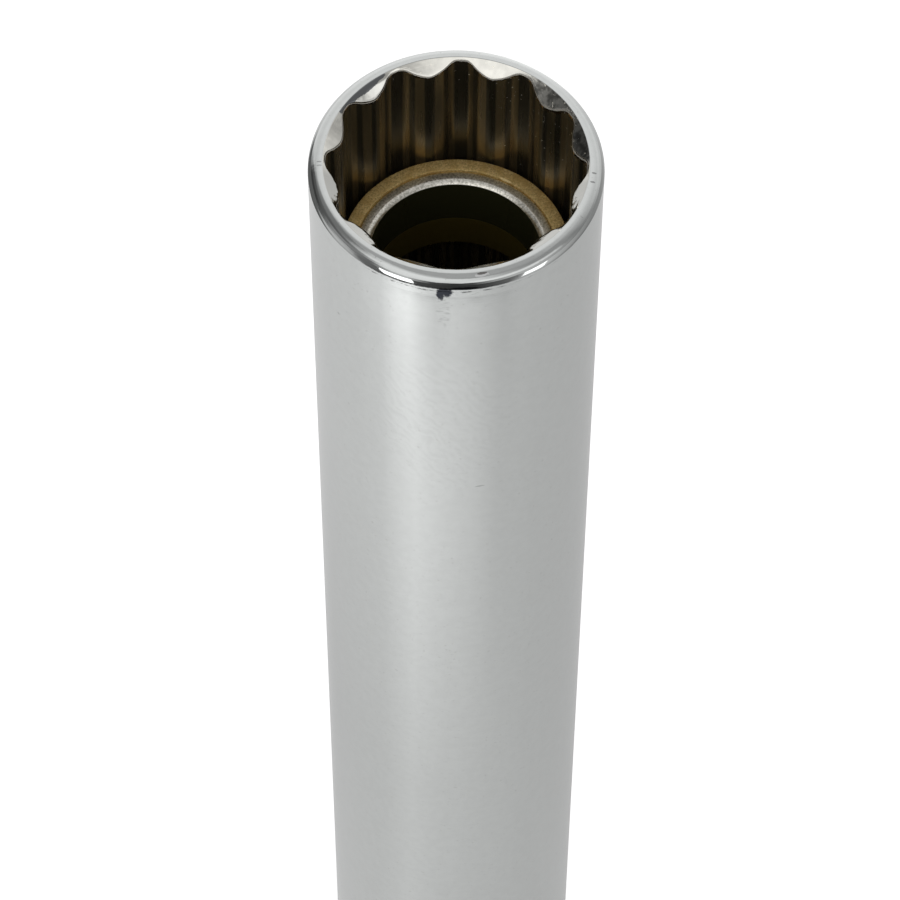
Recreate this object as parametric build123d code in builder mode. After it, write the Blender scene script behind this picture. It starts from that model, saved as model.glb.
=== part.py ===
from build123d import *
import math
import os

# Magnetic spark plug socket for a 14 mm plug hexagon. It stands on its drive end.
# The origin is the centre of the drive-end face, and +Z runs up the axis to the open end.
# Lengths are in millimetres and angles in degrees. A depth is measured down from the rim.

# The turned barrel. Its wall is measured at the corners of the recess, where it is thinnest.
socket_length = 100.0
corner_wall = 1.075
rim_flat = 0.16
drive_end_round = 0.8

# The twelve-point recess that turns the plug
plug_hexagon = 14.0
hexagon_play = 0.16
point_count = 12
corner_easing = 0.15
corner_round = 1.25
crest_round = 2.1
broach_depth = 12.0
lead_in_margin = 0.135
lead_in_slope = 45.0

# The magnet insert behind the recess
insert_depth = 9.15
crest_step = 0.11
sleeve_play = 0.02
magnet_sink = 0.15
magnet_wall = 0.9
magnet_height = 3.7
magnet_play = 0.02
magnet_bevel = 0.4
magnet_edge = 0.12
sleeve_wall = 0.88
sleeve_lip = 2.6
sleeve_edge = 0.1
sleeve_lead = 0.3

# The hollow for the plug's insulator
seat_shoulder = 1.32
drill_point = 118.0

# The square drive hole, with a groove that catches the drive's ball
drive_square = 9.53
drive_square_depth = 12.0
drive_corner_round = 0.3
passage_length = 9.4
passage_oversize = 0.27
countersink_margin = 0.12
countersink_slope = 30.0
detent_height = 5.5
detent_width = 3.2
detent_depth = 0.65

# Worked out for the barrel and the recess
half_pitch = 180.0 / point_count
flat_reach = (plug_hexagon + hexagon_play) / 2
crest_reach = flat_reach / math.cos(math.radians(half_pitch))
corner_reach = flat_reach / math.cos(math.radians(2 * half_pitch)) - corner_easing
outer_radius = corner_reach + corner_wall
lead_in_radius = corner_reach + lead_in_margin
rim_crown = corner_wall - lead_in_margin - rim_flat

# Worked out for the insert, from the crests inwards and from the rim down
seat_radius = crest_reach - crest_step
sleeve_radius = seat_radius - sleeve_play
pocket_radius = sleeve_radius - sleeve_wall
magnet_radius = pocket_radius - magnet_play
magnet_bore_radius = magnet_radius - magnet_wall
sleeve_top = socket_length - insert_depth
magnet_top = sleeve_top - magnet_sink
magnet_bottom = magnet_top - magnet_height
sleeve_bottom = magnet_bottom - sleeve_lip

# Worked out for the hollow and the drive end
cavity_radius = seat_radius - seat_shoulder
half_square = drive_square / 2
passage_radius = half_square + passage_oversize / 2
passage_top = drive_square_depth + passage_length
drill_cone_height = (cavity_radius - passage_radius) / math.tan(math.radians(drill_point / 2))
cavity_bottom = passage_top + drill_cone_height
lead_in_depth = (lead_in_radius - seat_radius) * math.tan(math.radians(lead_in_slope))
square_corner_reach = half_square * math.sqrt(2)
countersink_radius = square_corner_reach + countersink_margin
countersink_depth = (countersink_radius - passage_radius) * math.tan(math.radians(countersink_slope))
detent_sag = detent_depth + passage_oversize / 2
detent_arc = ((detent_width / 2) ** 2 + detent_sag ** 2) / (2 * detent_sag)


def around(reach, angle):
    """Return the point at this distance from the axis and this angle from +Y."""
    turn = math.radians(90.0 + angle)
    return (reach * math.cos(turn), reach * math.sin(turn))


def flank_angle():
    """Return the angle between a corner's direction and the normal of the flank beside it."""
    corner_centre = corner_reach - corner_round
    crest_centre = crest_reach + crest_round
    half = math.radians(half_pitch)
    along = crest_centre * math.cos(half) - corner_centre
    across = crest_centre * math.sin(half)
    lean = math.acos((corner_round + crest_round) / math.hypot(along, across))
    return math.degrees(math.atan2(across, along) - lean)


# The barrel is one turned and broached piece. Its section is drawn to the right of the axis.
with BuildPart() as socket_body:
    with BuildSketch(Plane.XZ) as barrel_section:
        with BuildLine() as barrel_outline:
            inside = Polyline(
                (lead_in_radius, socket_length),
                (seat_radius, socket_length - lead_in_depth),
                (seat_radius, sleeve_bottom),
                (cavity_radius, sleeve_bottom),
                (cavity_radius, cavity_bottom),
                (passage_radius, passage_top),
                (passage_radius, countersink_depth),
                (countersink_radius, 0),
            )
            foot = Line(inside @ 1, (outer_radius - drive_end_round, 0))
            foot_round = RadiusArc(foot @ 1, (outer_radius, drive_end_round), -drive_end_round)
            side = Line(foot_round @ 1, (outer_radius, socket_length - rim_crown))
            crown = RadiusArc(side @ 1, (outer_radius - rim_crown, socket_length), -rim_crown)
            Line(crown @ 1, inside @ 0)
        make_face()
    revolve(axis=Axis.Z)

    # The broach has rounded corners, flat flanks and rounded crests, with a corner on +Y.
    flank = flank_angle()
    crest_turn = flank - half_pitch
    with BuildSketch(Plane.XY.offset(socket_length)) as broach_section:
        with BuildLine() as broach_outline:
            corners = []
            crests = []
            for point in range(point_count):
                corner_at = 2 * half_pitch * point
                crest_at = corner_at + half_pitch
                corner_centre = around(corner_reach - corner_round, corner_at)
                crest_centre = around(crest_reach + crest_round, crest_at)
                corner_start = 90.0 + corner_at - flank
                crest_start = 270.0 + crest_at + crest_turn
                corners.append(CenterArc(corner_centre, corner_round, corner_start, 2 * flank))
                crests.append(CenterArc(crest_centre, crest_round, crest_start, -2 * crest_turn))
            for point in range(point_count):
                Line(corners[point] @ 1, crests[point] @ 0)
                Line(crests[point] @ 1, corners[(point + 1) % point_count] @ 0)
        make_face()
    extrude(amount=-broach_depth, mode=Mode.SUBTRACT)

    # The square hole at the other end has its flats across X and Y.
    with BuildSketch(Plane.XY) as square_section:
        RectangleRounded(drive_square, drive_square, drive_corner_round)
    extrude(amount=drive_square_depth, mode=Mode.SUBTRACT)

    # The ball groove is turned into the four flats.
    with BuildSketch(Plane.XZ) as detent_section:
        with Locations((passage_radius + detent_sag - detent_arc, detent_height)):
            Circle(detent_arc)
        with Locations((passage_radius / 2, detent_height)):
            Rectangle(passage_radius, 4 * detent_arc, mode=Mode.SUBTRACT)
    revolve(axis=Axis.Z, mode=Mode.SUBTRACT)
socket_body.part.label = "socket_body"

# The brass sleeve is a turned cup: the magnet drops in from above and rests on its inner lip.
with BuildPart() as magnet_sleeve:
    with BuildSketch(Plane.XZ) as sleeve_section:
        with BuildLine() as sleeve_outline:
            Polyline(
                (magnet_bore_radius, sleeve_bottom),
                (sleeve_radius - sleeve_lead, sleeve_bottom),
                (sleeve_radius, sleeve_bottom + sleeve_lead),
                (sleeve_radius, sleeve_top - sleeve_edge),
                (sleeve_radius - sleeve_edge, sleeve_top),
                (pocket_radius + sleeve_edge, sleeve_top),
                (pocket_radius, sleeve_top - sleeve_edge),
                (pocket_radius, magnet_bottom),
                (magnet_bore_radius, magnet_bottom),
                close=True,
            )
        make_face()
    revolve(axis=Axis.Z)
magnet_sleeve.part.label = "magnet_sleeve"

# The plated ring magnet has a wide bevel at the top of its bore and a small one outside.
with BuildPart() as ring_magnet:
    with BuildSketch(Plane.XZ) as magnet_section:
        with BuildLine() as magnet_outline:
            Polyline(
                (magnet_bore_radius, magnet_bottom),
                (magnet_radius, magnet_bottom),
                (magnet_radius, magnet_top - magnet_edge),
                (magnet_radius - magnet_edge, magnet_top),
                (magnet_bore_radius + magnet_bevel, magnet_top),
                (magnet_bore_radius, magnet_top - magnet_bevel),
                close=True,
            )
        make_face()
    revolve(axis=Axis.Z)
ring_magnet.part.label = "ring_magnet"

os.makedirs("parts", exist_ok=True)
export_step(socket_body.part, "parts/socket_body.step")
export_step(magnet_sleeve.part, "parts/magnet_sleeve.step")
export_step(ring_magnet.part, "parts/ring_magnet.step")
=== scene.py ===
import math
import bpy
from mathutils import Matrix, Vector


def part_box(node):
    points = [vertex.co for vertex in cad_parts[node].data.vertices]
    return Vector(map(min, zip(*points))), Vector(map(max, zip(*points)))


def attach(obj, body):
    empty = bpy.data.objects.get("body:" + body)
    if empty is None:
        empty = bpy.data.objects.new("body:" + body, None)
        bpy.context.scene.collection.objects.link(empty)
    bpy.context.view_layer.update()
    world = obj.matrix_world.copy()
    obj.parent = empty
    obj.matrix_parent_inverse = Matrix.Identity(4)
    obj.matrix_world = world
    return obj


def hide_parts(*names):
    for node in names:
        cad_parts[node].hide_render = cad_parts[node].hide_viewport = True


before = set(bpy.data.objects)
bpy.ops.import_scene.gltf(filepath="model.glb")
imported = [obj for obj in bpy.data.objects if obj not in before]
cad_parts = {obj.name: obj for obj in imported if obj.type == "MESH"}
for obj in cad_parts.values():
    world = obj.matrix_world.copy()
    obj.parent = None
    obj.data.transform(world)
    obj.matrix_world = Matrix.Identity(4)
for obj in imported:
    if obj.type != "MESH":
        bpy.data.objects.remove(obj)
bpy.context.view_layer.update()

from types import SimpleNamespace

import bmesh
import bpy
from mathutils import Matrix, Vector

# The pieces are modelled in millimetres and brought to metres when they are finished.
MM = 0.001

# Places read from the frame, in millimetres, with the origin at the foot of the socket
barrel_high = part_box("socket_body")[1] / MM
sleeve_low, sleeve_high = (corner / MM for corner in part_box("magnet_sleeve"))
magnet_low, magnet_high = (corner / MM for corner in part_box("ring_magnet"))
rim_height = barrel_high.z
# The shown barrel is a hair smaller than the CAD barrel, so that it stays inside the CAD's box.
box_margin = 0.001
outer_radius = min(barrel_high.x, barrel_high.y) - box_margin
sleeve_radius = sleeve_high.x
magnet_radius = magnet_high.x

# The working end. Half a pitch separates a corner of the recess from the crest beside it.
corner_count = 12
half_pitch_degrees = 180.0 / corner_count
half_pitch = math.radians(half_pitch_degrees)
flat_reach = 7.08
corner_easing = 0.15
lead_in_margin = 0.135
lead_in_slope = math.radians(45.0)
rim_flat = 0.16
broach_depth = 12.0
crest_reach = flat_reach / math.cos(half_pitch)
corner_reach = flat_reach / math.cos(2 * half_pitch) - corner_easing
# A corner is made of flat facets: its root, and others that lean away from it towards the crest. Each
# leaning facet is given by the turn of its normal and its distance from the axis.
root_easing = 0.025
crest_easing = 0.006
root_reach = corner_reach - root_easing
flank_facets = [
    (math.radians(41.0), 6.364),
    (math.radians(28.5), 7.107),
    (half_pitch, crest_reach - crest_easing),
]
lead_in_radius = corner_reach + lead_in_margin
rim_crown = outer_radius - lead_in_radius - rim_flat
mouth_round = 0.25
rim_softness = 0.15

# The seat, the hollow and the drive end
crest_step = 0.11
seat_shoulder = 1.32
drive_square = 9.53
drive_flats = 4
square_corner_round = 0.3
square_depth = 12.0
passage_oversize = 0.27
passage_length = 9.4
drill_point = 118.0
countersink_margin = 0.12
seat_radius = crest_reach - crest_step
cavity_radius = seat_radius - seat_shoulder
half_square = drive_square / 2
passage_radius = half_square + passage_oversize / 2
passage_top = square_depth + passage_length
drill_half_angle = math.radians(drill_point / 2)
cavity_bottom = passage_top + (cavity_radius - passage_radius) / math.tan(drill_half_angle)
countersink_radius = half_square * math.sqrt(2) + countersink_margin
countersink_slope = math.radians(30.0)
foot_round = 0.8
detent_height = 5.5
detent_width = 3.2
detent_depth = 0.65

# The insert. The bevel's slope, in degrees, grows from the flat top to the edge of the bore.
magnet_wall = 0.9
magnet_play = 0.02
magnet_bevel = 0.4
bevel_start = 8.0
bevel_end = 46.0
magnet_bore_radius = magnet_radius - magnet_wall
pocket_radius = magnet_radius + magnet_play

# How finely the meshes are divided: round the axis, in rows as shares of the length of the recess's
# wall and lead-in, in rows down the side, and in steps along each bend
columns = 480
wall_rows = (0.5, 0.9)
lead_in_rows = (0.17, 0.33, 0.5, 0.67, 0.83)
side_rows = 12
groove_steps = 8
mouth_steps = 4
rim_edge_steps = 6
crown_steps = 14
foot_steps = 10
soft_edge_steps = 4
bevel_steps = 6
merge_distance = 0.001
smooth_angle = math.radians(25.0)
# How far the recess's facets are rounded into each other, in degrees, on the wall and at the mouth,
# and in how many samples
wall_blend = 0.75
mouth_blend = 2.25
blend_samples = 9
# The lead-in isn't even: these lobes stand higher. Each is given by its bearing and by its rise at
# the end of each third of its length.
raised_lobes = {
    -135: (0.11, 0.21, 0.3), -105: (0.055, 0.11, 0.165), -45: (0.085, 0.05, 0.015),
    105: (0.055, 0.11, 0.165), 135: (0.11, 0.21, 0.3),
}
# Their sides come down gently over this many degrees, and all of them lie within this depth of the rim.
lobe_ease = 9.0
lobe_depth = 1.5


def begin_ring(name, radius, height):
    """Add a ring of vertices round the axis and leave it selected in edit mode."""
    bpy.ops.object.select_all(action="DESELECT")
    bpy.ops.mesh.primitive_circle_add(vertices=columns, radius=radius, location=(0, 0, height))
    bpy.context.object.name = name
    bpy.ops.object.transform_apply(location=True, rotation=False, scale=False)
    bpy.ops.object.mode_set(mode="EDIT")
    bpy.ops.mesh.select_mode(type="VERT")
    bpy.ops.mesh.select_all(action="SELECT")


def extrude_to(radius, height):
    """Carry the selected round ring to a new radius and height, leaving a band of faces behind."""
    mesh = bmesh.from_edit_mesh(bpy.context.object.data)
    first = next(vert for vert in mesh.verts if vert.select)
    scale = radius / first.co.xy.length
    rise = height - first.co.z
    bpy.ops.mesh.extrude_region_move(TRANSFORM_OT_translate={"value": (0, 0, rise)})
    bpy.ops.transform.resize(value=(scale, scale, 1))


def extrude_along(profile):
    """Carry the selected round ring along a list of (radius, height) points."""
    for radius, height in profile:
        extrude_to(radius, height)


def shape_ring(sectors, reach_at, height_at):
    """Move the selected ring onto a patterned outline, one set of matching vertices at a time.

    reach_at takes the angle from the nearest sector's middle, and height_at takes the reach.
    """
    mesh = bmesh.from_edit_mesh(bpy.context.object.data)
    ring = [vert for vert in mesh.verts if vert.select]
    sector = 2 * math.pi / sectors
    sets = {}
    for vert in ring:
        angle = math.atan2(vert.co.x, vert.co.y)
        offset = abs((angle + sector / 2) % sector - sector / 2)
        sets.setdefault(round(offset, 4), []).append(vert)
    for offset, matching in sets.items():
        bpy.ops.mesh.select_all(action="DESELECT")
        for vert in matching:
            vert.select_set(True)
        reach = reach_at(offset)
        scale = reach / matching[0].co.xy.length
        rise = height_at(reach) - matching[0].co.z
        bpy.ops.transform.resize(value=(scale, scale, 1))
        bpy.ops.transform.translate(value=(0, 0, rise))
    bpy.ops.mesh.select_all(action="DESELECT")
    for vert in ring:
        vert.select_set(True)
    mesh.select_flush_mode()


def extrude_shaped(sectors, reach_at, height_at):
    """Extrude the selected ring and move the copy onto a patterned outline."""
    bpy.ops.mesh.extrude_region_move()
    shape_ring(sectors, reach_at, height_at)


def arc(centre_radius, centre_height, radius, start, end, steps):
    """Return the points of an arc in the profile's plane, without its first one."""
    points = []
    for step in range(1, steps + 1):
        angle = math.radians(start + (end - start) * step / steps)
        points.append((centre_radius + radius * math.cos(angle), centre_height + radius * math.sin(angle)))
    return points


def finish_piece(node):
    """Close the mesh being edited, turn its faces outwards and bring it to metres."""
    bpy.ops.mesh.select_all(action="SELECT")
    bpy.ops.mesh.remove_doubles(threshold=merge_distance)
    bpy.ops.mesh.normals_make_consistent(inside=False)
    bpy.ops.transform.resize(value=(MM, MM, MM), center_override=(0, 0, 0))
    bpy.ops.object.mode_set(mode="OBJECT")
    piece = bpy.context.object
    bpy.ops.object.shade_smooth_by_angle(angle=smooth_angle)
    bpy.ops.object.modifier_add(type="WEIGHTED_NORMAL")
    piece.modifiers[-1].keep_sharp = True
    bpy.ops.object.modifier_apply(modifier=piece.modifiers[-1].name)
    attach(piece, "root")
    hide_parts(node)
    return piece


def ray_to_circle(angle, centre_reach, centre_angle, radius):
    """Return how far out a ray from the axis leaves a circle, on its far side."""
    turn = angle - centre_angle
    along = centre_reach * math.cos(turn)
    away = centre_reach * math.sin(turn)
    half_chord = math.sqrt(max(radius ** 2 - away ** 2, 0.0))
    return along + half_chord


def facet_reach(offset):
    """Return the reach of the recess's sharp facets at an angle from a corner."""
    offset = abs((offset + half_pitch) % (2 * half_pitch) - half_pitch)
    root = root_reach / math.cos(offset)
    flank = max(reach / math.cos(lean - offset) for lean, reach in flank_facets)
    return min(root, flank)


def broach_reach(offset, blend_degrees=wall_blend):
    """Return the recess's reach at an angle from its nearest corner, with its facets rounded."""
    spread = math.radians(blend_degrees)
    reaches = []
    for sample in range(blend_samples):
        shift = spread * (2 * sample / (blend_samples - 1) - 1)
        reaches.append(facet_reach(offset + shift))
    return sum(reaches) / blend_samples


def mouth_reach(offset):
    """Return the reach just below the lead-in, where the outline is rounder."""
    return broach_reach(offset, mouth_blend)


def square_reach(offset):
    """Return the drive hole's reach at an angle from the middle of its nearest flat."""
    corner_centre = half_square - square_corner_round
    if half_square * math.tan(offset) <= corner_centre:
        reach = half_square / math.cos(offset)
    else:
        quarter = math.radians(45.0)
        reach = ray_to_circle(offset, corner_centre * math.sqrt(2), quarter, square_corner_round)
    return max(reach, passage_radius)


def groove_reach(offset, height):
    """Return the drive hole's reach at a height in its ball groove."""
    sag = detent_depth + passage_radius - half_square
    bend = ((detent_width / 2) ** 2 + sag ** 2) / (2 * sag)
    rise = height - detent_height
    groove = passage_radius + sag - bend + math.sqrt(bend ** 2 - rise ** 2)
    return max(square_reach(offset), groove)


def raise_lobes(edge_start, cone_end, tip_reach):
    """Give some of the lead-in's lobes a gentler slope, one set of vertices with the same rise at a time.

    The rim's soft edge, from edge_start to cone_end, is flattened to end in the lobe's new slope.
    """
    mesh = bmesh.from_edit_mesh(bpy.context.object.data)
    lobe_length = cone_end - tip_reach
    sets = {}
    for vert in mesh.verts:
        reach = vert.co.xy.length
        drop = rim_height - vert.co.z
        if reach > edge_start - merge_distance or drop > lobe_depth:
            continue
        bearing = math.degrees(math.atan2(vert.co.x, vert.co.y))
        share = min(max((cone_end - reach) / lobe_length, 0.0), 1.0)
        edge_drop = min(drop, rim_softness * (1 - math.cos(lead_in_slope)))
        for lobe, rises in raised_lobes.items():
            away = abs((bearing - lobe + 180.0) % 360.0 - 180.0)
            inwards = min(max((half_pitch_degrees - away) / lobe_ease, 0.0), 1.0)
            inwards *= inwards * (3 - 2 * inwards)
            steps = (0.0,) + rises
            thirds = len(rises)
            third = min(int(share * thirds), thirds - 1)
            rise = steps[third] + (steps[third + 1] - steps[third]) * (share * thirds - third)
            rise += edge_drop * thirds * rises[0] / lobe_length
            sets.setdefault(round(rise * inwards, 3), []).append(vert)
    sets.pop(0.0, None)
    for rise, matching in sets.items():
        bpy.ops.mesh.select_all(action="DESELECT")
        for vert in matching:
            vert.select_set(True)
        bpy.ops.transform.translate(value=(0, 0, rise))


def make_barrel():
    """Model the barrel as one turned and broached piece."""
    broach_floor = rim_height - broach_depth
    begin_ring("barrel", seat_radius, broach_floor)
    extrude_shaped(corner_count, broach_reach, lambda reach: broach_floor)

    def lead_in_height(reach):
        return rim_height - (lead_in_radius - reach) * math.tan(lead_in_slope)

    def mouth_height(reach):
        """Return where the wall ends below the mouth's soft edge, for the wall's own reach."""
        tangent_reach = reach + mouth_round * (1 - math.sin(lead_in_slope))
        return lead_in_height(tangent_reach) - mouth_round * math.cos(lead_in_slope)

    for share in wall_rows:
        wall_height = broach_floor + share * (mouth_height(crest_reach) - broach_floor)
        extrude_shaped(corner_count, broach_reach, lambda reach: wall_height)
    for step in range(mouth_steps + 1):
        bend = (math.pi / 2 - lead_in_slope) * step / mouth_steps
        inset = mouth_round * (1 - math.cos(bend))
        extrude_shaped(corner_count, lambda offset: mouth_reach(offset) + inset,
                       lambda reach: mouth_height(reach - inset) + mouth_round * math.sin(bend))
    edge_length = rim_softness * math.tan(lead_in_slope / 2)
    cone_end = lead_in_radius - edge_length * math.cos(lead_in_slope)
    for share in lead_in_rows:
        extrude_shaped(corner_count, lambda offset: mouth_reach(offset) + inset
                       + share * (cone_end - mouth_reach(offset) - inset), lead_in_height)
    extrude_shaped(corner_count, lambda offset: cone_end, lead_in_height)
    edge_centre = lead_in_radius + edge_length
    slope = math.degrees(lead_in_slope)
    extrude_along(arc(edge_centre, rim_height - rim_softness, rim_softness, 90 + slope, 90, rim_edge_steps))
    crown_centre = outer_radius - rim_crown
    extrude_along([(crown_centre, rim_height)])
    extrude_along(arc(crown_centre, rim_height - rim_crown, rim_crown, 90, 0, crown_steps))
    side_top = rim_height - rim_crown
    for row in range(1, side_rows + 1):
        extrude_to(outer_radius, side_top + (foot_round - side_top) * row / side_rows)
    foot_centre = outer_radius - foot_round
    extrude_along(arc(foot_centre, foot_round, foot_round, 0, -90, foot_steps))
    extrude_along([(countersink_radius, 0.0)])

    def countersink_height(reach):
        return (countersink_radius - reach) * math.tan(countersink_slope)

    extrude_shaped(drive_flats, square_reach, countersink_height)
    for step in range(groove_steps + 1):
        height = detent_height + detent_width * (step / groove_steps - 0.5)
        extrude_shaped(drive_flats, lambda offset: groove_reach(offset, height), lambda reach: height)
    extrude_shaped(drive_flats, square_reach, lambda reach: square_depth)
    extrude_shaped(drive_flats, lambda offset: passage_radius, lambda reach: square_depth)
    extrude_along([
        (passage_radius, passage_top),
        (cavity_radius, cavity_bottom),
        (cavity_radius, sleeve_low.z),
        (seat_radius, sleeve_low.z),
        (seat_radius, broach_floor),
    ])
    raise_lobes(edge_centre, cone_end, crest_reach + inset)
    return finish_piece("socket_body")


def make_turned(name, profile, node):
    """Model a piece turned from a closed profile of (radius, height) points."""
    begin_ring(name, *profile[0])
    extrude_along(profile[1:] + profile[:1])
    return finish_piece(node)


def make_sleeve():
    """Model the brass sleeve: a cup with an inner lip under the magnet."""
    soft = 0.08
    lead = 0.3
    profile = [(magnet_bore_radius, sleeve_low.z), (sleeve_radius - lead, sleeve_low.z)]
    profile += [(sleeve_radius, sleeve_low.z + lead), (sleeve_radius, sleeve_high.z - soft)]
    profile += arc(sleeve_radius - soft, sleeve_high.z - soft, soft, 0, 90, soft_edge_steps)
    profile += [(pocket_radius + soft, sleeve_high.z)]
    profile += arc(pocket_radius + soft, sleeve_high.z - soft, soft, 90, 180, soft_edge_steps)
    profile += [(pocket_radius, magnet_low.z), (magnet_bore_radius, magnet_low.z)]
    return make_turned("sleeve", profile, "magnet_sleeve")


def make_magnet():
    """Model the plated ring magnet, with a soft outer edge and a wide bevel into its bore."""
    soft = 0.12
    top = magnet_high.z
    profile = [(magnet_bore_radius, magnet_low.z), (magnet_radius, magnet_low.z)]
    profile += [(magnet_radius, top - soft)]
    profile += arc(magnet_radius - soft, top - soft, soft, 0, 90, soft_edge_steps)
    bevel_mouth = magnet_bore_radius + magnet_bevel
    profile += [(bevel_mouth, top)]
    # The bevel curves over from the top and ends in a crisp edge at the bore.
    first = math.radians(bevel_start)
    bend = magnet_bevel / (math.sin(math.radians(bevel_end)) - math.sin(first))
    middle = (bevel_mouth + bend * math.sin(first), top - bend * math.cos(first))
    profile += arc(*middle, bend, 90 + bevel_start, 90 + bevel_end, bevel_steps)
    return make_turned("magnet_ring", profile, "ring_magnet")


def feed(tree, socket, value):
    """Link a socket to another one, or set it to a plain value."""
    if isinstance(value, bpy.types.NodeSocket):
        tree.links.new(value, socket)
    elif value is not None:
        socket.default_value = value


def calculate(tree, operation, first, second=None, third=None):
    """Add a Math node and return its result."""
    node = tree.nodes.new("ShaderNodeMath")
    node.operation = operation
    for socket, value in zip(node.inputs, (first, second, third)):
        feed(tree, socket, value)
    return node.outputs[0]


def fade(tree, value, low, high, before=0.0, after=1.0, course="SMOOTHSTEP"):
    """Return a change from one level to another between two values, smooth or LINEAR."""
    node = tree.nodes.new("ShaderNodeMapRange")
    node.interpolation_type = course
    for name, level in (("Value", value), ("From Min", low), ("From Max", high)):
        feed(tree, node.inputs[name], level)
    for name, level in (("To Min", before), ("To Max", after)):
        feed(tree, node.inputs[name], level)
    return node.outputs["Result"]


def blend(tree, factor, first, second):
    """Mix two colours by a factor."""
    node = tree.nodes.new("ShaderNodeMix")
    node.data_type = "RGBA"
    feed(tree, node.inputs["Factor"], factor)
    feed(tree, node.inputs[6], first)
    feed(tree, node.inputs[7], second)
    return node.outputs[2]


def grain(tree, vector, scale, detail=2.0, roughness=0.5, fourth=None):
    """Return a noise between 0 and 1, with a fourth coordinate where one is given."""
    node = tree.nodes.new("ShaderNodeTexNoise")
    node.noise_dimensions = "3D" if fourth is None else "4D"
    feed(tree, node.inputs["Vector"], vector)
    if fourth is not None:
        feed(tree, node.inputs["W"], fourth)
    node.inputs["Scale"].default_value = scale
    node.inputs["Detail"].default_value = detail
    node.inputs["Roughness"].default_value = roughness
    return node.outputs["Fac"]


def grey(level):
    """Return a neutral colour."""
    return (level, level, level, 1)


def ring_of_levels(tree, bearing, stops):
    """Return brightness by bearing, from (degrees from the far side, level) stops."""
    node = tree.nodes.new("ShaderNodeValToRGB")
    ramp = node.color_ramp
    while len(ramp.elements) < len(stops):
        ramp.elements.new(0.5)
    for element, (degrees, level) in zip(ramp.elements, stops):
        element.position = (degrees + 180.0) / 360.0
        element.color = grey(level)
    feed(tree, node.inputs["Fac"], bearing)
    return node.outputs["Color"]


def bearing_of(tree, x, y):
    """Return the bearing from +Y towards +X as a share of a turn, with +Y at a half."""
    turn = calculate(tree, "ARCTAN2", x, y)
    return calculate(tree, "MULTIPLY_ADD", turn, 0.5 / math.pi, 0.5)


def split(tree, vector):
    """Return the three coordinates of a vector."""
    node = tree.nodes.new("ShaderNodeSeparateXYZ")
    feed(tree, node.inputs[0], vector)
    return node.outputs[0], node.outputs[1], node.outputs[2]


def new_material(name):
    """Return a material with its node tree and Principled shader."""
    material = bpy.data.materials.new(name)
    material.use_nodes = True
    tree = material.node_tree
    return material, tree, tree.nodes["Principled BSDF"]


def millimetres(tree):
    """Return the Object coordinates in millimetres: the vector and the distance from the axis."""
    place = tree.nodes.new("ShaderNodeTexCoord").outputs["Object"]
    scaled = tree.nodes.new("ShaderNodeVectorMath")
    scaled.operation = "SCALE"
    feed(tree, scaled.inputs[0], place)
    scaled.inputs["Scale"].default_value = 1 / MM
    x, y, z = split(tree, scaled.outputs[0])
    squares = calculate(tree, "MULTIPLY_ADD", x, x, calculate(tree, "MULTIPLY", y, y))
    return scaled.outputs[0], (x, y, z), calculate(tree, "SQRT", squares)


def round_the_axis(tree, coordinates, reach, around, up):
    """Return a vector for noise that runs round the axis, drawn out or pressed along it."""
    x, y, z = coordinates
    combined = tree.nodes.new("ShaderNodeCombineXYZ")
    for socket, value in zip(combined.inputs, (x, y)):
        share = calculate(tree, "DIVIDE", value, reach)
        feed(tree, socket, calculate(tree, "MULTIPLY", share, around))
    feed(tree, combined.inputs[2], calculate(tree, "MULTIPLY", z, up))
    return combined.outputs[0]


def lathe_lines(tree, coordinates, reach, around, across, detail=3.0):
    """Return a noise drawn out round the axis, as turning and polishing leave it."""
    place = round_the_axis(tree, coordinates, reach, around, across)
    return grain(tree, place, 1.0, detail, 0.6, calculate(tree, "MULTIPLY", reach, across))


def raise_surface(tree, height, distance, strength=1.0, under=None):
    """Return a normal bumped by a height, where a height of 1 stands this many metres proud."""
    node = tree.nodes.new("ShaderNodeBump")
    node.inputs["Strength"].default_value = strength
    node.inputs["Distance"].default_value = distance
    feed(tree, node.inputs["Height"], height)
    feed(tree, node.inputs["Normal"], under)
    return node.outputs["Normal"]


# A mark fades away between these two shares of its half sizes.
spot_edge = (1.1, 0.7)


def spot(tree, vector, bearing, reach, height, size, ragged=None):
    """Return a mark's mask: its place on the barrel and its half sizes round, out and up."""
    angle = math.radians(bearing)
    node = tree.nodes.new("ShaderNodeMapping")
    node.vector_type = "TEXTURE"
    node.inputs["Location"].default_value = (reach * math.sin(angle), reach * math.cos(angle), height)
    node.inputs["Rotation"].default_value = (0, 0, -angle)
    node.inputs["Scale"].default_value = size
    feed(tree, node.inputs["Vector"], vector)
    length = tree.nodes.new("ShaderNodeVectorMath")
    length.operation = "LENGTH"
    feed(tree, length.inputs[0], node.outputs[0])
    distance = length.outputs["Value"]
    if ragged is not None:
        distance = calculate(tree, "ADD", distance, ragged)
    return fade(tree, distance, *spot_edge)


def paint(tree, colour, marks, vector, ragged):
    """Lay marks over a colour, from (bearing, reach, height, half sizes, strength, colour) entries."""
    for bearing, reach, height, size, strength, tint in marks:
        mask = spot(tree, vector, bearing, reach, height, size, ragged)
        colour = blend(tree, calculate(tree, "MULTIPLY", mask, strength), colour, tint)
    return colour


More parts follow.
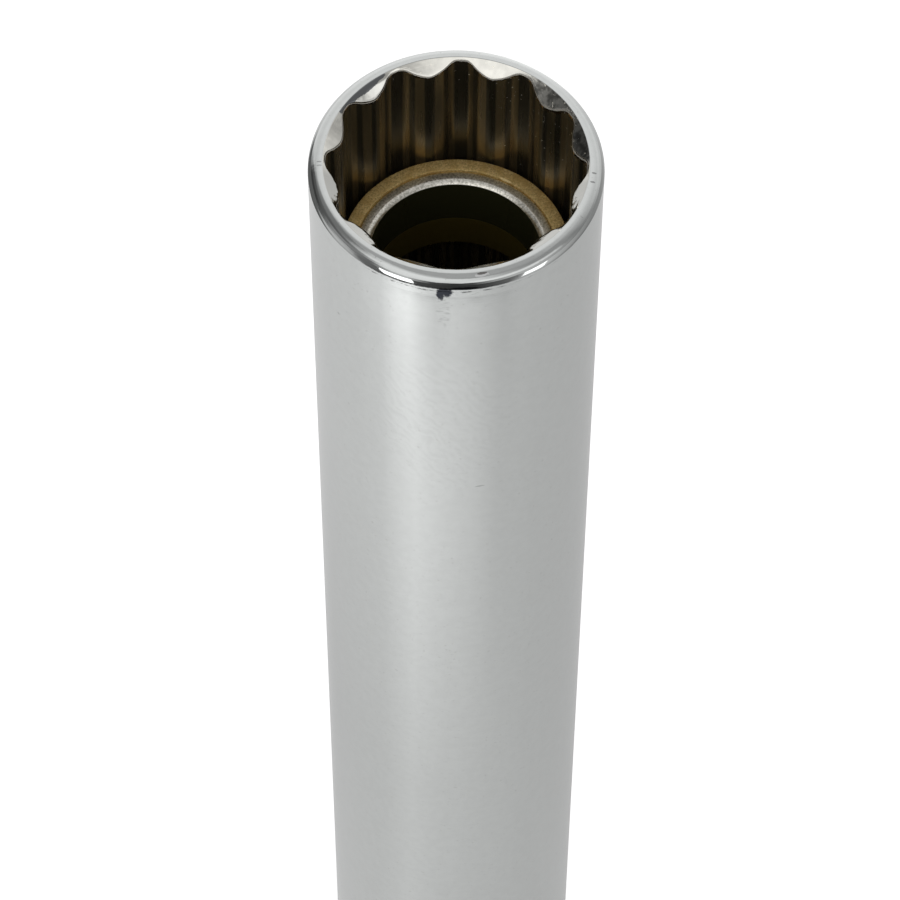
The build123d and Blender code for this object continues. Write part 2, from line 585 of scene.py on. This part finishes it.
# Marks on the chrome. Each is given by its bearing, distance from the axis and height, its half sizes
# round, out and up, its strength and its colour. They are a smudge that hangs from the edge, painted
# in the tone of the rim's dark reflection, with a painted shadow streak beside it, a dash, nicks on the
# rim and a scuff.
# The tone of the rim's dark reflection, painted for the smudge and the shadow streak beside it
smudge_and_dark_reflection = (0.03, 0.033, 0.043, 1)
marks = [
    (-176.2, outer_radius, rim_height - 1.25, (0.27, 0.7, 0.6), 1.0, smudge_and_dark_reflection),
    (-178.6, outer_radius, rim_height - 1.1, (0.36, 0.7, 0.45), 1.0, smudge_and_dark_reflection),
    (-177.7, outer_radius, rim_height - 1.0, (0.5, 0.7, 0.3), 1.0, smudge_and_dark_reflection),
    (174.6, outer_radius, rim_height - 0.66, (0.95, 0.7, 0.11), 0.85, smudge_and_dark_reflection),
    (-176.7, outer_radius, rim_height - 1.7, (0.12, 0.7, 0.3), 0.75, smudge_and_dark_reflection),
    (167.6, outer_radius, rim_height - 22.55, (0.34, 0.3, 0.05), 0.6, grey(0.15)),
    (167.3, 8.6, rim_height, (0.48, 0.13, 0.4), 0.8, grey(0.9)),
    (167.3, 8.53, rim_height, (0.36, 0.09, 0.4), 0.85, (0.12, 0.11, 0.1, 1)),
    (-92.4, 8.37, rim_height, (0.07, 0.16, 0.4), 0.6, grey(0.2)),
    (-94.4, 8.37, rim_height, (0.07, 0.2, 0.4), 0.5, grey(0.25)),
    (93.6, 8.44, rim_height, (0.08, 0.14, 0.4), 0.7, grey(0.15)),
    (98.3, 8.46, rim_height, (0.08, 0.18, 0.4), 0.7, grey(0.15)),
    (-129.3, outer_radius, rim_height - 8.3, (0.13, 0.4, 0.08), 0.6, grey(0.2)),
]
# Painted dark reflection: a grey patch on one lobe of the lead-in, given by bearing, distance, drop below the
# rim and half sizes
painted_dark_reflection_patch = [
    (-57.0, 8.06, 0.1, (1.15, 0.26, 0.4)),
    (-46.5, 8.0, 0.15, (1.35, 0.22, 0.4)),
    (-38.5, 8.1, 0.05, (0.55, 0.16, 0.3)),
]

# The plate's colours outside
chrome_darker = (0.548, 0.562, 0.554, 1)
chrome_lighter = (0.582, 0.596, 0.588, 1)
chrome_speck = (0.28, 0.27, 0.26, 1)
chrome_cloud = (0.48, 0.49, 0.484, 1)
# And inside the rim, where it is warmer
warm_darker = (0.67, 0.658, 0.61, 1)
warm_lighter = (0.79, 0.775, 0.715, 1)
warm_in_front = (0.46, 0.458, 0.436, 1)
painted_highlight_cream = (0.87, 0.86, 0.81, 1)
dull_darker = (0.2, 0.197, 0.18, 1)
dull_lighter = (0.52, 0.51, 0.47, 1)
painted_reflection_grey = (0.2, 0.206, 0.212, 1)
edge_highlight_colour = (0.85, 0.82, 0.74, 1)
fringe_colour = (0.42, 0.27, 0.1, 1)
# The bare steel's colours
steel_darker = (0.075, 0.064, 0.04, 1)
steel_painted_reflection = (0.25, 0.188, 0.095, 1)
steel_streak = (0.13, 0.11, 0.07, 1)
painted_glint_colour = (0.9, 0.86, 0.76, 1)

# Where the plate ends, by the depth under the lead-in's cone at which each part starts and is full
# A painted highlight runs along the plate's edge, between the first two depths.
edge_highlight_from = (0.006, 0.02)
edge_highlight_until = (0.1, 0.07)
fringe_from = (0.07, 0.12)
steel_from = (0.14, 0.2)
# The bearings where it starts to end in a plain line, and the middle and spread of its dull stretch
front_from = (90.0, 100.0)
dull_middle = 60.0
dull_spread = (32.0, 23.0)
ripple_pitch = 0.65


def lead_in_zones(tree, vector, coordinates, reach):
    """Return masks for the plate's end inside the rim, by how deep a point lies under the cone."""
    x, y, height = coordinates
    cone_drop = calculate(tree, "MULTIPLY", calculate(tree, "SUBTRACT", lead_in_radius, reach),
                          math.tan(lead_in_slope))
    depth = calculate(tree, "SUBTRACT", calculate(tree, "SUBTRACT", rim_height, height), cone_drop)
    inside = calculate(tree, "LESS_THAN", reach, lead_in_radius)
    bearing = calculate(tree, "DEGREES", calculate(tree, "ARCTAN2", x, y))
    # The end is ragged, and plain in front.
    in_front = fade(tree, calculate(tree, "ABSOLUTE", bearing), *front_from)
    ragged = calculate(tree, "MULTIPLY_ADD", grain(tree, vector, 3.0, 3.0), 1.6, 0.2)
    ragged = fade(tree, in_front, 0.0, 1.0, ragged, 0.7)
    depth = calculate(tree, "MULTIPLY", depth, ragged)
    # Two lobes on the right are dull and blotchy, with a wider painted edge highlight.
    from_the_middle = calculate(tree, "ABSOLUTE", calculate(tree, "SUBTRACT", bearing, dull_middle))
    dull = fade(tree, from_the_middle, *dull_spread)
    depth = calculate(tree, "MULTIPLY", depth, fade(tree, dull, 0.0, 1.0, 1.0, 0.6))
    above_foot = calculate(tree, "MULTIPLY", fade(tree, height, 0.6, 1.6), inside)
    edge_highlight = calculate(tree, "MULTIPLY", fade(tree, depth, *edge_highlight_from), fade(tree, depth, *edge_highlight_until))
    return SimpleNamespace(
        inside=inside,
        bearing=bearing,
        in_front=in_front,
        dull=dull,
        depth=depth,
        above_foot=above_foot,
        edge_highlight=calculate(tree, "MULTIPLY", edge_highlight, above_foot),
        fringe=calculate(tree, "MULTIPLY", fade(tree, depth, *fringe_from), above_foot),
        bare=calculate(tree, "MULTIPLY", fade(tree, depth, *steel_from), above_foot),
    )


def plate_texture(tree, vector, coordinates, reach):
    """Return the plate's fine lines round the barrel, its slight waves, and its patch of ripples."""
    x, _, height = coordinates
    waves = grain(tree, vector, 1.7, 2.0)
    # The ripples are fine and slanting, and lie in front.
    slant = calculate(tree, "MULTIPLY_ADD", x, 0.79, calculate(tree, "MULTIPLY", height, 0.61))
    slant = calculate(tree, "MULTIPLY_ADD", grain(tree, vector, 0.6, 2.0), 2.2, slant)
    ripples = calculate(tree, "SINE", calculate(tree, "MULTIPLY", slant, 2 * math.pi / ripple_pitch))
    rippled = spot(tree, vector, -176.0, outer_radius, rim_height - 15.5, (4.6, 4.0, 8.0))
    rippled = calculate(tree, "MULTIPLY", rippled, fade(tree, waves, 0.3, 0.6, 0.3, 1.0))
    return SimpleNamespace(
        lines=lathe_lines(tree, coordinates, reach, 3.0, 14.0),
        waves=waves,
        ripples=calculate(tree, "MULTIPLY", ripples, rippled),
    )


def lead_in_colour(tree, vector, zones):
    """Return the plate's colour inside the rim: warm and uneven, dull on the right, greyer in front, with a
    painted highlight and a painted dark reflection on one lobe.
    """
    mottle = fade(tree, grain(tree, vector, 1.1, 2.0, 0.5), 0.35, 0.65)
    warm = blend(tree, mottle, warm_darker, warm_lighter)
    blotches = fade(tree, grain(tree, vector, 2.2, 4.0, 0.6), 0.4, 0.62)
    warm = blend(tree, zones.dull, warm, blend(tree, blotches, dull_darker, dull_lighter))
    warm = blend(tree, zones.in_front, warm, warm_in_front)
    # A painted highlight: a cream spot on the lobe with the painted dark reflection
    painted_highlight_spot = spot(tree, vector, -45.0, 7.6, rim_height - 0.5, (1.6, 0.4, 0.6))
    warm = blend(tree, painted_highlight_spot, warm, painted_highlight_cream)
    # The painted dark reflection on that lobe, with a jagged edge
    jagged = calculate(tree, "MULTIPLY_ADD", grain(tree, vector, 9.0, 2.0), 0.5, -0.25)
    patch = 0.0
    for bearing, distance, drop, size in painted_dark_reflection_patch:
        part = spot(tree, vector, bearing, distance, rim_height - drop, size, jagged)
        patch = calculate(tree, "MAXIMUM", part, patch)
    return blend(tree, fade(tree, patch, 0.3, 0.55), warm, painted_reflection_grey)


def plate_colour(tree, vector, coordinates, reach, zones, texture):
    """Return the plate's colour, faintly clouded and specked, with its painted edge highlight and its marks.
    """
    specks = fade(tree, grain(tree, vector, 5.0, 1.0, 0.4), 0.72, 0.76)
    plate = blend(tree, texture.lines, chrome_darker, chrome_lighter)
    plate = blend(tree, calculate(tree, "MULTIPLY", specks, 0.35), plate, chrome_speck)
    cloud = fade(tree, texture.waves, 0.3, 0.7, 0.0, 0.2)
    cloud = calculate(tree, "MULTIPLY_ADD", texture.ripples, 0.12, cloud)
    plate = blend(tree, cloud, plate, chrome_cloud)
    plate = blend(tree, zones.inside, plate, lead_in_colour(tree, vector, zones))
    # A painted highlight along the burred edge, over a golden-brown fringe
    plate = blend(tree, calculate(tree, "MULTIPLY", zones.edge_highlight, 0.8), plate, edge_highlight_colour)
    plate = blend(tree, calculate(tree, "MULTIPLY", zones.fringe, 0.9), plate, fringe_colour)
    fray = calculate(tree, "MULTIPLY_ADD", grain(tree, vector, 6.0, 2.0), 0.9, -0.45)
    plate = paint(tree, plate, marks, vector, fray)
    # A faint trail of flecks under the smudge
    trail = spot(tree, vector, -177.3, outer_radius, rim_height - 3.1, (0.5, 0.6, 1.9))
    flecks = fade(tree, grain(tree, round_the_axis(tree, coordinates, reach, 22.0, 6.0), 1.0, 2.0), 0.5, 0.62)
    trail = calculate(tree, "MULTIPLY", calculate(tree, "MULTIPLY", trail, flecks), 0.24)
    return blend(tree, trail, plate, grey(0.2))


def steel_colour(tree, coordinates, reach, zones, streaks):
    """Return the bare steel's brown-black, with painted brown reflections in bands on the facets near each
    root and crest, and fine lines that the broach drew up the wall.
    """
    bearing = calculate(tree, "ADD", zones.bearing, 360.0)
    offset = calculate(tree, "PINGPONG", bearing, half_pitch_degrees)
    shaken = calculate(tree, "ADD", offset, calculate(tree, "MULTIPLY_ADD", streaks, 1.4, -0.7))
    # Painted reflections: lighter brown bands on the facets near each root and near each crest
    near_root = calculate(tree, "MULTIPLY", fade(tree, shaken, 2.5, 3.6), fade(tree, shaken, 6.2, 5.2))
    near_crest = calculate(tree, "MULTIPLY", fade(tree, shaken, 7.6, 8.6), fade(tree, shaken, 13.0, 12.0))
    painted_facet_reflections = calculate(tree, "MAXIMUM", near_root, near_crest)
    uneven = grain(tree, round_the_axis(tree, coordinates, reach, 5.0, 0.1), 1.0, 1.0)
    painted_facet_reflections = calculate(tree, "MULTIPLY", painted_facet_reflections, fade(tree, uneven, 0.3, 0.6, 0.35, 1.0))
    steel = blend(tree, painted_facet_reflections, steel_darker, steel_painted_reflection)
    return blend(tree, fade(tree, streaks, 0.45, 0.75, 0.0, 0.12), steel, steel_streak)


def painted_glint_specks(tree, vector, x, zones):
    """Return a mask of painted glints: bright specks, most of them on the right and near the mouth."""
    painted_glints = grain(tree, vector, 5.5, 1.0, 0.4, 3.0)
    on_the_right = fade(tree, x, -2.0, 3.0, 0.06, 0.0)
    limit = calculate(tree, "ADD", fade(tree, zones.depth, 0.3, 5.0, 0.69, 0.77), on_the_right)
    painted_glints = fade(tree, painted_glints, limit, calculate(tree, "ADD", limit, 0.04))
    return calculate(tree, "MULTIPLY", painted_glints, zones.above_foot)


def plate_relief(tree, vector, coordinates, reach, texture):
    """Return the normal: waves and ripples on the barrel, and polishing lines on the rounded rim."""
    height = coordinates[2]
    smooth = raise_surface(tree, grain(tree, vector, 0.35, 2.0), 0.00002, 0.35)
    smooth = raise_surface(tree, texture.ripples, 0.0000012, 1.0, smooth)
    near_rim = fade(tree, height, rim_height - 1.6, rim_height - 1.0)
    wavy = calculate(tree, "MULTIPLY", texture.waves, near_rim)
    wavy = raise_surface(tree, wavy, 0.000006, 1.0, smooth)
    on_the_crown = fade(tree, height, rim_height - 0.95, rim_height - 0.8)
    polish = lathe_lines(tree, coordinates, reach, 0.8, 4.0, 2.0)
    lined = raise_surface(tree, calculate(tree, "MULTIPLY", polish, on_the_crown), 0.000005, 1.0, wavy)
    return raise_surface(tree, texture.lines, 0.0000006, 0.5, lined)


def chrome_and_bare_steel():
    """Chrome plate outside and on the rim, and dark broached steel inside."""
    material, tree, shader = new_material("chrome plate")
    vector, coordinates, reach = millimetres(tree)
    x, _, height = coordinates
    zones = lead_in_zones(tree, vector, coordinates, reach)
    texture = plate_texture(tree, vector, coordinates, reach)
    streaks = grain(tree, round_the_axis(tree, coordinates, reach, 30.0, 0.12), 1.0, 2.0, 0.45)
    painted_glints = painted_glint_specks(tree, vector, x, zones)
    plate = plate_colour(tree, vector, coordinates, reach, zones, texture)
    steel = steel_colour(tree, coordinates, reach, zones, streaks)
    # Painted glints over the plate and the bare steel
    colour = blend(tree, painted_glints, blend(tree, zones.bare, plate, steel), painted_glint_colour)
    feed(tree, shader.inputs["Base Color"], colour)

    # Oil and soot dull the bare steel, more so further down, and the painted edge highlight is matt.
    oily = fade(tree, height, rim_height - 1.0, rim_height - 8.0, 0.2, 0.32)
    matt = calculate(tree, "MAXIMUM", calculate(tree, "MULTIPLY", zones.bare, oily),
                     calculate(tree, "MULTIPLY", zones.edge_highlight, 0.5))
    feed(tree, shader.inputs["Metallic"], calculate(tree, "SUBTRACT", 1.0, matt))

    # The rim is bright, and the barrel below it is satin.
    below_rim = fade(tree, height, rim_height - 1.2, rim_height - 9.0)
    outside = calculate(tree, "GREATER_THAN", reach, corner_reach + 0.5)
    satin = calculate(tree, "MULTIPLY", below_rim, outside)
    plate_roughness = calculate(tree, "ADD", fade(tree, satin, 0.0, 1.0, 0.06, 0.11),
                                calculate(tree, "MULTIPLY_ADD", texture.lines, 0.05, -0.025))
    rough_spots = calculate(tree, "MAXIMUM", zones.edge_highlight, painted_glints)
    plate_roughness = calculate(tree, "MULTIPLY_ADD", rough_spots, 0.3, plate_roughness)
    steel_roughness = fade(tree, streaks, 0.2, 0.8, 0.26, 0.31)
    rougher = calculate(tree, "SUBTRACT", steel_roughness, plate_roughness)
    feed(tree, shader.inputs["Roughness"],
         calculate(tree, "MULTIPLY_ADD", zones.bare, rougher, plate_roughness))
    feed(tree, shader.inputs["Normal"], plate_relief(tree, vector, coordinates, reach, texture))
    return material


# The insert's colours: each plate or metal in its darker and lighter grains, and darker as painted shade in
# the bore
brass_darker = (0.6, 0.42, 0.16, 1)
brass_lighter = (1.0, 0.76, 0.34, 1)
brass_browned = (0.66, 0.43, 0.14, 1)
brass_painted_shade = (0.2, 0.15, 0.03, 1)
brass_painted_glint = (1.0, 0.78, 0.38, 1)
nickel_darker = (0.52, 0.5, 0.44, 1)
nickel_lighter = (0.88, 0.85, 0.77, 1)
nickel_painted_shade = (0.043, 0.042, 0.017, 1)


def turned_brass():
    """Dull turned brass, grainy and browned."""
    material, tree, shader = new_material("turned brass")
    vector, coordinates, reach = millimetres(tree)
    lines = lathe_lines(tree, coordinates, reach, 4.0, 10.0)
    grit = grain(tree, vector, 8.0, 3.0, 0.7)
    patches = grain(tree, vector, 1.1, 3.0)
    colour = blend(tree, fade(tree, grit, 0.35, 0.65), brass_darker, brass_lighter)
    colour = blend(tree, fade(tree, patches, 0.4, 0.65, 0.0, 0.6), colour, brass_browned)
    # Painted shade: the brass in the bore, below the magnet, is darker
    painted_shade_in_the_bore = fade(tree, reach, magnet_bore_radius + 0.1, magnet_bore_radius + 0.05)
    colour = blend(tree, painted_shade_in_the_bore, colour, brass_painted_shade)
    # A painted glint on the inner edge: a brighter, smoother golden patch, by its bearing and half sizes
    glint = spot(tree, vector, 27.7, pocket_radius + 0.05, sleeve_high.z, (0.45, 0.1, 0.2))
    colour = blend(tree, glint, colour, brass_painted_glint)
    feed(tree, shader.inputs["Base Color"], colour)
    shader.inputs["Metallic"].default_value = 0.6
    rough_brass = fade(tree, grit, 0.3, 0.7, 0.5, 0.64)
    feed(tree, shader.inputs["Roughness"], calculate(tree, "MULTIPLY_ADD", glint, -0.25, rough_brass))
    rough = raise_surface(tree, grit, 0.00002, 0.5)
    feed(tree, shader.inputs["Normal"], raise_surface(tree, lines, 0.000006, 0.6, rough))
    return material


def plated_magnet():
    """Satin nickel plate, speckled on top, with painted shade in the bore: dark and not metallic there."""
    material, tree, shader = new_material("plated magnet")
    vector, coordinates, reach = millimetres(tree)
    lines = lathe_lines(tree, coordinates, reach, 4.0, 12.0)
    grit = grain(tree, vector, 7.0, 2.0, 0.6)
    colour = blend(tree, fade(tree, grit, 0.35, 0.65), nickel_darker, nickel_lighter)
    # Painted shade: the bore is near black and not metallic
    painted_shade_in_the_bore = fade(tree, reach, magnet_bore_radius + 0.03, magnet_bore_radius + 0.01)
    colour = blend(tree, painted_shade_in_the_bore, colour, nickel_painted_shade)
    feed(tree, shader.inputs["Base Color"], colour)
    feed(tree, shader.inputs["Metallic"], calculate(tree, "SUBTRACT", 1.0, painted_shade_in_the_bore))
    # The flat top is duller than the bevel
    bevel_mouth = magnet_bore_radius + magnet_bevel
    on_top = fade(tree, reach, bevel_mouth - 0.05, bevel_mouth + 0.05)
    satin = fade(tree, grit, 0.3, 0.7, 0.18, 0.26)
    feed(tree, shader.inputs["Roughness"], calculate(tree, "MULTIPLY_ADD", on_top, 0.12, satin))
    rough = raise_surface(tree, grit, 0.000006, 0.4)
    feed(tree, shader.inputs["Normal"], raise_surface(tree, lines, 0.000003, 0.6, rough))
    return material


barrel = make_barrel()
sleeve = make_sleeve()
magnet = make_magnet()
barrel.data.materials.append(chrome_and_bare_steel())
sleeve.data.materials.append(turned_brass())
magnet.data.materials.append(plated_magnet())

# The floor is a white sheet. What the metal sees past it is the dark room in front and the paler sides
# of the studio, which is dimmer close to the sheet. Each list gives levels by bearing from the far side,
# and distances from the axis are in metres.
white = grey(1.0)
floor_size = 4.0
sheet_reach = 0.0797
sheet_fade = 0.0023
# How pale the sheet and the room beyond it are where light falls on them
sheet_white = 0.8
room_white = 0.55
dim_from = (0.1, 0.19)
dim_level = 0.74
far_off = (0.33, 0.4125)
round_the_sheet = [
    (-180, 0.07), (-160, 0.12), (-130, 0.25), (-118, 0.3), (-109, 0.9), (-96, 1.1), (-84, 0.95), (-76, 0.25),
    (-46, 0.2), (-39, 1.1), (-24, 1.3), (0, 1.6), (12, 1.9), (24, 1.25), (36, 1.0), (48, 0.78), (60, 0.6),
    (75, 0.5), (90, 0.62), (108, 0.9), (119, 1.1), (133, 0.9), (141, 0.3), (155, 0.15), (165, 0.07),
    (180, 0.07),
]
# The pale strip of the room on the left is narrower far off
darker_far_off = [
    (-180, 1.0), (-112, 1.0), (-100, 0.8), (-92, 0.5), (-86, 0.3), (-80, 0.25), (-75, 1.0), (180, 1.0),
]
# The sheet's own shine in the metal: close to the foot, half way out and where the sheet ends
shine_at_the_foot = [
    (-180, 0.26), (-150, 0.34), (-125, 0.23), (-60, 0.08), (-30, 0.06), (30, 0.0), (85, 0.03), (115, 0.07),
    (145, 0.17), (180, 0.27),
]
shine_half_way = [
    (-180, 0.42), (-151, 0.62), (-137, 0.5), (-123, 0.35), (-100, 0.27), (-50, 0.16), (20, 0.0), (85, 0.05),
    (115, 0.07), (145, 0.15), (165, 0.32), (180, 0.42),
]
shine_at_the_edge = [
    (-180, 0.48), (-167, 0.42), (-157, 0.66), (-146, 1.02), (-137, 0.93), (-124, 0.54), (-100, 0.32),
    (-50, 0.2), (35, 0.03), (85, 0.06), (115, 0.06), (142, 0.1), (165, 0.36), (180, 0.48),
]
foot_shine_until = 0.03
half_way_out = 0.058
# How much of the room's level shines by itself, how strongly the sheet glows for the camera, and the
# distances from the axis between which its glow starts, so that none shows inside the barrel
room_shine = 0.31
camera_shine = 0.6
glow_from = (0.0069, 0.0075)


def scale_colour(tree, colour, factor):
    """Multiply a colour by a number or by another colour."""
    node = tree.nodes.new("ShaderNodeVectorMath")
    node.operation = "MULTIPLY"
    feed(tree, node.inputs[0], colour)
    feed(tree, node.inputs[1], factor)
    return node.outputs[0]


def floor_material():
    """White sheet: lit by the lamps, and lifted to white as the camera and the metal see it."""
    material, tree, shader = new_material("floor")
    place = tree.nodes.new("ShaderNodeTexCoord").outputs["Object"]
    x, y, _ = split(tree, place)
    squares = calculate(tree, "MULTIPLY_ADD", x, x, calculate(tree, "MULTIPLY", y, y))
    distance = calculate(tree, "SQRT", squares)
    bearing = bearing_of(tree, x, y)
    path = tree.nodes.new("ShaderNodeLightPath")
    camera_ray = path.outputs["Is Camera Ray"]
    past = fade(tree, distance, sheet_reach, sheet_reach + sheet_fade)
    past = calculate(tree, "MULTIPLY", past, calculate(tree, "SUBTRACT", 1.0, camera_ray))
    outer = ring_of_levels(tree, bearing, round_the_sheet)
    darker = blend(tree, fade(tree, distance, *far_off), white,
                   ring_of_levels(tree, bearing, darker_far_off))
    outer = scale_colour(tree, outer, darker)
    outer = scale_colour(tree, outer, fade(tree, distance, *dim_from, dim_level, 1.0))
    paper = blend(tree, past, white, outer)
    whiteness = calculate(tree, "MULTIPLY_ADD", past, room_white - sheet_white, sheet_white)
    paper = scale_colour(tree, paper, whiteness)
    feed(tree, shader.inputs["Base Color"], paper)
    shader.inputs["Roughness"].default_value = 0.9
    shader.inputs["Specular IOR Level"].default_value = 0.0

    shine = blend(tree, fade(tree, distance, foot_shine_until, half_way_out, course="LINEAR"),
                  ring_of_levels(tree, bearing, shine_at_the_foot),
                  ring_of_levels(tree, bearing, shine_half_way))
    outwards = fade(tree, distance, half_way_out, sheet_reach, course="LINEAR")
    shine = blend(tree, calculate(tree, "MULTIPLY", outwards, outwards), shine,
                  ring_of_levels(tree, bearing, shine_at_the_edge))
    shine = blend(tree, past, shine, blend(tree, room_shine, grey(0.0), outer))
    by_metal = calculate(tree, "MAXIMUM", path.outputs["Is Glossy Ray"], path.outputs["Is Transmission Ray"])
    seen = calculate(tree, "MULTIPLY_ADD", camera_ray, camera_shine, by_metal)
    seen = calculate(tree, "MULTIPLY", seen, fade(tree, distance, *glow_from))
    feed(tree, shader.inputs["Emission Color"], blend(tree, camera_ray, shine, white))
    feed(tree, shader.inputs["Emission Strength"], seen)
    material.cycles.emission_sampling = "NONE"
    return material


bpy.ops.object.select_all(action="DESELECT")
bpy.ops.mesh.primitive_plane_add(size=floor_size, location=(0, 0, 0))
floor = bpy.context.object
floor.name = "floor"
floor.data.materials.append(floor_material())

# The studio round the socket, as levels by bearing from the far side, from the horizon to high up: a
# dark front and left, a pale far side, and a wide soft box overhead in front
horizon = [
    (-180, 0.06), (-166, 0.1), (-150, 0.8), (-139, 0.6), (-126, 0.2), (-108, 0.35), (-96, 0.4),
    (-84, 0.16), (-74, 0.07), (-58, 0.07), (-51, 0.6), (-45, 1.0), (-15, 1.2), (10, 1.25), (30, 0.9),
    (60, 0.78), (75, 0.42), (90, 0.32), (104, 0.48), (120, 0.62), (140, 0.7), (154, 0.45), (167, 0.1),
    (180, 0.05),
]
low_down = [
    (-180, 1.0), (-150, 1.15), (-134, 1.1), (-126, 0.55), (-116, 0.35), (-104, 0.2), (-90, 0.15), (-54, 0.13),
    (-50, 0.85), (0, 1.2), (30, 1.03), (60, 0.84), (75, 0.58), (90, 0.33), (101, 0.4), (107, 0.85),
    (122, 1.08), (160, 1.25), (180, 1.0),
]
half_way = [
    (-180, 1.1), (-150, 1.2), (-122, 1.1), (-108, 0.7), (-94, 0.3), (-84, 0.25), (-60, 0.28), (-50, 0.4),
    (-42, 0.85), (0, 1.05), (30, 0.95), (60, 0.74), (88, 0.42), (120, 0.42), (140, 0.6), (165, 1.0),
    (180, 1.1),
]
high_up = [
    (-180, 0.52), (-165, 0.72), (-135, 0.95), (-105, 0.9), (-90, 0.55), (-68, 0.4), (-45, 0.52),
    (-10, 1.05), (30, 0.8), (60, 0.73), (90, 0.53), (135, 0.46), (150, 0.48), (165, 0.5), (180, 0.52),
]
zenith = 0.55
zenith_from = (60.0, 72.0)
# The elevations between which the studio turns from one list to the next
turns_of_the_studio = [(15.0, 19.0, low_down), (27.0, 39.0, half_way), (54.0, 61.0, high_up)]


def make_world():
    """Studio light from all round, and plain white where the camera looks past the floor."""
    world = bpy.data.worlds.new("studio")
    world.use_nodes = True
    bpy.context.scene.world = world
    tree = world.node_tree
    direction = tree.nodes.new("ShaderNodeTexCoord").outputs["Generated"]
    x, y, z = split(tree, direction)
    bearing = bearing_of(tree, x, y)
    elevation = calculate(tree, "DEGREES", calculate(tree, "ARCSINE", z))
    level = ring_of_levels(tree, bearing, horizon)
    for low, high, stops in turns_of_the_studio:
        level = blend(tree, fade(tree, elevation, low, high), level, ring_of_levels(tree, bearing, stops))
    level = blend(tree, fade(tree, elevation, *zenith_from), level, grey(zenith))
    level = blend(tree, tree.nodes.new("ShaderNodeLightPath").outputs["Is Camera Ray"], level, white)
    feed(tree, tree.nodes["Background"].inputs["Color"], level)


make_world()

# The strip lamps stand this far from the axis, in metres.
lamp_distance = 0.143


def make_lamp(name, bearing, height, size, radiance, lights_the_floor):
    """Add a soft box that faces the socket and that the camera doesn't see.

    It stands at a bearing from the far side, as bright as a plain white surface times its radiance.
    """
    data = bpy.data.lights.new(name, "AREA")
    data.shape = "RECTANGLE"
    data.size, data.size_y = size
    data.energy = radiance * math.pi * size[0] * size[1]
    lamp = bpy.data.objects.new(name, data)
    bpy.context.scene.collection.objects.link(lamp)
    angle = math.radians(bearing)
    place = Vector((lamp_distance * math.sin(angle), lamp_distance * math.cos(angle), height))
    inwards = Vector((0, 0, height)) - place
    lamp.matrix_world = Matrix.Translation(place) @ inwards.to_track_quat("-Z", "Y").to_matrix().to_4x4()
    lamp.visible_camera = False
    lamp.visible_diffuse = lights_the_floor


make_lamp("left_strip", bearing=-144.8, height=0.05, size=(0.053, 0.096), radiance=2.6,
          lights_the_floor=False)
make_lamp("right_strip", bearing=126.5, height=0.043, size=(0.038, 0.082), radiance=1.75,
          lights_the_floor=True)

# The camera looks down at the open end, as the photograph does. Its place is measured from the
# rim's centre, along its own right, up and forward directions.
camera_azimuth = math.radians(2.05)
camera_pitch = math.radians(56.47)
camera_roll = math.radians(0.27)
rim_right = 0.38
rim_up = 17.61
rim_ahead = 260.2
sensor_width = 36.0
focal_length = 170.56
camera_data = bpy.data.cameras.new("camera")
camera = bpy.data.objects.new("camera", camera_data)
bpy.context.scene.collection.objects.link(camera)
camera_data.sensor_width = sensor_width
camera_data.lens = focal_length
camera_data.clip_start = 0.01
turn = Matrix.Rotation(camera_azimuth, 4, "Z")
turn = turn @ Matrix.Rotation(math.radians(90.0) - camera_pitch, 4, "X")
turn = turn @ Matrix.Rotation(camera_roll, 4, "Z")
rim_centre = Vector((0, 0, rim_height))
place = (rim_centre + turn.to_3x3() @ Vector((-rim_right, -rim_up, rim_ahead))) * MM
camera.matrix_world = Matrix.Translation(place) @ turn
bpy.context.scene.camera = camera

bpy.context.scene.view_settings.view_transform = "Standard"
